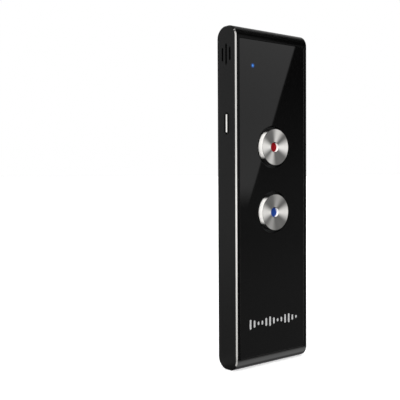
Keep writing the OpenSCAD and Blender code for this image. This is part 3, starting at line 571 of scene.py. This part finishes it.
def level_marks():
    """A row of printed bars, like the levels of a sound, where the front carries its print."""
    mesh = bmesh.new()
    step = (MARK_RIGHT - MARK_LEFT - MARK_WIDTH) / (MARK_COUNT - 1)
    for count in range(MARK_COUNT):
        swing = 0.5 + 0.5 * math.cos(count * MARK_SWING)
        height = MARK_SHORT + (MARK_TALL - MARK_SHORT) * swing
        bar(mesh, MARK_LEFT + MARK_WIDTH / 2 + count * step, MARK_MIDDLE, MARK_WIDTH, height,
            FRONT_Y + MARK_INK / 2, MARK_INK)
    bmesh.ops.recalc_face_normals(mesh, faces=mesh.faces)
    return finished("level_marks", mesh, grained("grey_ink", 0.42, 0.52, 3000, 0.5), "housing")


# ---------------------------------------------------------------- camera, air and floor

CAMERA_PLACE = Vector((-217.457, -223.821, 82.522)) * MM
CAMERA_AHEAD = Vector((0.62946659, 0.77626072, -0.03451243))
CAMERA_RIGHT = Vector((0.77659118, -0.62998057, -0.00553324))
CAMERA_UP = Vector((0.0260374, 0.02331906, 0.99938895))
# Lens and sensor in millimetres
CAMERA_LENS = 63.62
SENSOR = 36
NEAREST, FARTHEST = 0.01, 200

# The eye, mirrors and clear things see the air and the floor white; all else gets this light
SEEN = ("Is Camera Ray", "Is Glossy Ray", "Is Transmission Ray")
AIR_LIGHT = 0.55
FLOOR_HALF = 40
FLOOR_PALE = 0.85
FLOOR_LIFT = 0.5


def set_camera():
    """The camera at the photograph's viewing angle."""
    data = bpy.data.cameras.new("camera")
    data.lens = CAMERA_LENS
    data.sensor_width = SENSOR
    data.clip_start = NEAREST
    data.clip_end = FARTHEST
    camera = bpy.data.objects.new("camera", data)
    bpy.context.collection.objects.link(camera)
    turn = Matrix((CAMERA_RIGHT, CAMERA_UP, -CAMERA_AHEAD)).transposed()
    camera.matrix_world = Matrix.Translation(CAMERA_PLACE) @ turn.to_4x4()
    bpy.context.scene.camera = camera


def seen(tree):
    """1 for the rays that see white, 0 for those that carry light."""
    kinds = add(tree, "LightPath").outputs
    return largest(tree, *[kinds[name] for name in SEEN])


def set_world():
    """White to the eye and in reflections, plain soft light on everything."""
    world = bpy.data.worlds.new("studio")
    bpy.context.scene.world = world
    world.use_nodes = True
    tree = world.node_tree
    air = tree.nodes["Background"]
    air.inputs["Color"].default_value = colour(1.0)
    join(tree, air.inputs["Strength"], fade(tree, seen(tree), 0, 1, AIR_LIGHT, 1.0))


def stage_object(name, corners, made):
    """A flat stage piece from its corners."""
    mesh = bmesh.new()
    mesh.faces.new([mesh.verts.new(corner) for corner in corners])
    data = bpy.data.meshes.new(name)
    mesh.to_mesh(data)
    mesh.free()
    sheet = bpy.data.objects.new(name, data)
    bpy.context.collection.objects.link(sheet)
    data.materials.append(made)
    return sheet


def white_floor():
    """Plain white floor, a little brighter to the eye so that only shadows show on it."""
    made, tree, shader = material("white_floor", Roughness=0.9, Specular_IOR_Level=0.0,
                                  Base_Color=colour(FLOOR_PALE), Emission_Color=colour(1.0))
    join(tree, shader.inputs["Emission Strength"], fade(tree, seen(tree), 0, 1, 0, FLOOR_LIFT))
    half = FLOOR_HALF
    stage_object("floor", [(-half, -half, 0), (half, -half, 0), (half, half, 0), (-half, half, 0)], made)


# ---------------------------------------------------------------- what the black gloss mirrors

# All lengths here are in millimetres. The cards that the panels mirror stand AWAY from the middle,
# with a slanted border on each, whose foot lies this far to the side
AWAY = 500
FRONT_FOOT, BACK_FOOT = 428, 366
SLANT = 0.41
SLANT_SOFT = 1.5
# Greys of the front's dark field at its foot and higher up, and what its pale field adds
FRONT_DARK = (0.14, 0.03)
FRONT_PALE = (0.60, 0.80)
# Heights over which the pale field starts, over which it grows, and over which the dark one fades
FIELD_START = (35, 72)
FIELD_GROWS = (150, 300)
DARK_FADES = (0, 250)
# Greys of the field that the back cover mirrors, and how far to the side its dark one is darkest
BACK_PALE, BACK_DARK, BACK_DARKEST = 0.82, 0.56, 0.42
BACK_DARKENS = (440, 520)
# Grey of the card on the floor far ahead of the front and close to it, and where these lie
FLOOR_GREYS = (0.14, 0.19)
FLOOR_BRIGHTENS = (-500, -20)
# Just ahead of the foot the card there is brightest: where it brightens, and where it darkens
FOOT_BRIGHTENS, FOOT_FAR = (-18, -10), 0.3
FOOT_DARKENS, FOOT_UNDER = (-6.5, -4.5), 0.2
# The pale ends of the card above
TOP_FRONT, TOP_FRONT_PALE = (-620, -440), 0.5
TOP_BACK, TOP_BACK_PALE = (520, 640), 0.8

PANEL_CARD = ((200, -AWAY, -1), (700, -AWAY, -1), (700, -AWAY, 430), (200, -AWAY, 430))
FLOOR_CARD = ((-30, -18, 0.5), (80, -18, 0.5), (750, -520, 0.5), (360, -520, 0.5))
FOOT_CARD = ((-40, -18, 0.3), (50, -18, 0.3), (50, 1, 0.3), (-40, 1, 0.3))
# The card that the round top end mirrors is an arch, open below
TOP_CARD = ((500, -650, 300), (500, -650, 1000), (500, 800, 1000), (500, 800, 100), (500, 580, 100),
            (500, 560, 330), (500, 470, 530), (500, 340, 680), (500, 100, 780), (500, 60, 300))


def card(name, corners, tone, behind=False):
    """A card that only gloss sees, as a studio holds cards beside a shiny thing. Its tone is a plain
    grey, or a function that makes one from a point on the card. A card behind the object is the
    same, turned half round."""
    turn = -1 if behind else 1
    made = bpy.data.materials.new(name)
    made.use_nodes = True
    tree = made.node_tree
    tree.nodes.clear()
    spot = axes(tree, place(tree, scale=(turn / MM, turn / MM, 1 / MM)))
    grey = tone(tree, spot) if callable(tone) else tone
    glow = add(tree, "Emission", {"Color": colour(1.0), "Strength": grey})
    join(tree, add(tree, "OutputMaterial").inputs["Surface"], glow.outputs[0])
    sheet = stage_object(name, [(x * turn * MM, y * turn * MM, z * MM) for x, y, z in corners], made)
    sheet.visible_camera = False
    sheet.visible_diffuse = False
    sheet.visible_shadow = False
    sheet.visible_transmission = False
    return sheet


def slanted(tree, spot, foot, pale, dark):
    """A pale field near the middle and a dark one farther out, which meet on a slant."""
    border = maths(tree, "SUBTRACT", spot["X"], times(tree, spot["Z"], SLANT))
    beyond = fade(tree, border, foot - SLANT_SOFT, foot + SLANT_SOFT)
    return maths(tree, "ADD", times(tree, maths(tree, "SUBTRACT", 1.0, beyond), pale),
                 times(tree, beyond, dark))


def front_field(tree, spot):
    """What the front panel mirrors: both fields grow stronger or weaker with height."""
    height = spot["Z"]
    dark = fade(tree, height, *DARK_FADES, *FRONT_DARK)
    light = times(tree, fade(tree, height, *FIELD_START), fade(tree, height, *FIELD_GROWS, *FRONT_PALE))
    return slanted(tree, spot, FRONT_FOOT, maths(tree, "ADD", dark, light), dark)


def back_field(tree, spot):
    """What the back cover mirrors."""
    dark = fade(tree, spot["X"], *BACK_DARKENS, BACK_DARK, BACK_DARKEST)
    return slanted(tree, spot, BACK_FOOT, BACK_PALE, dark)


def front_floor_field(tree, spot):
    """Darker as it lies farther ahead."""
    return fade(tree, spot["Y"], *FLOOR_BRIGHTENS, *FLOOR_GREYS)


def foot_field(tree, spot):
    """Brightest just ahead of the foot, dark under it."""
    return times(tree, fade(tree, spot["Y"], *FOOT_BRIGHTENS, FOOT_FAR, 1.0),
                 fade(tree, spot["Y"], *FOOT_DARKENS, 1.0, FOOT_UNDER))


def top_field(tree, spot):
    """Black, and pale along both ends."""
    return maths(tree, "ADD", fade(tree, spot["Y"], *TOP_FRONT, TOP_FRONT_PALE, 0.0),
                 fade(tree, spot["Y"], *TOP_BACK, 0.0, TOP_BACK_PALE))


def hang_cards():
    """Everything that the black gloss mirrors."""
    for side, field, floor_field in (("front", front_field, front_floor_field),
                                     ("back", back_field, BACK_DARK)):
        behind = side == "back"
        for name, corners, tone in (("card", PANEL_CARD, field), ("floor_card", FLOOR_CARD, floor_field),
                                    ("foot_card", FOOT_CARD, foot_field),
                                    ("top_card", TOP_CARD, top_field)):
            card(side + "_" + name, corners, tone, behind)


# ---------------------------------------------------------------- lamps

# Each lamp's name, a spot on the side that it shines from, its strength and its spread in degrees
SUNS = (("key_sun", (-0.8, -0.9, 1.2), 1.2, 40),
        ("left_sun", (-1.0, -0.55, 0.3), 1.7, 30),
        ("rear_sun", (0.6, 0.9, 1.0), 0.5, 60))


def sun(name, spot, strength, spread):
    """Broad even light that comes from the side of a spot."""
    data = bpy.data.lights.new(name, "SUN")
    data.energy = strength
    data.angle = math.radians(spread)
    made = bpy.data.objects.new(name, data)
    bpy.context.collection.objects.link(made)
    made.location = spot
    made.rotation_euler = (BODY_MIDDLE - Vector(spot)).to_track_quat("-Z", "Y").to_euler()
    made.visible_glossy = False


# ---------------------------------------------------------------- the whole


bpy.context.scene.view_settings.view_transform = "Standard"
set_camera()
set_world()
white_floor()
for lamp in SUNS:
    sun(*lamp)
hang_cards()

finish_outside()
finish_metal_inside()
finish_inside()
level_marks()
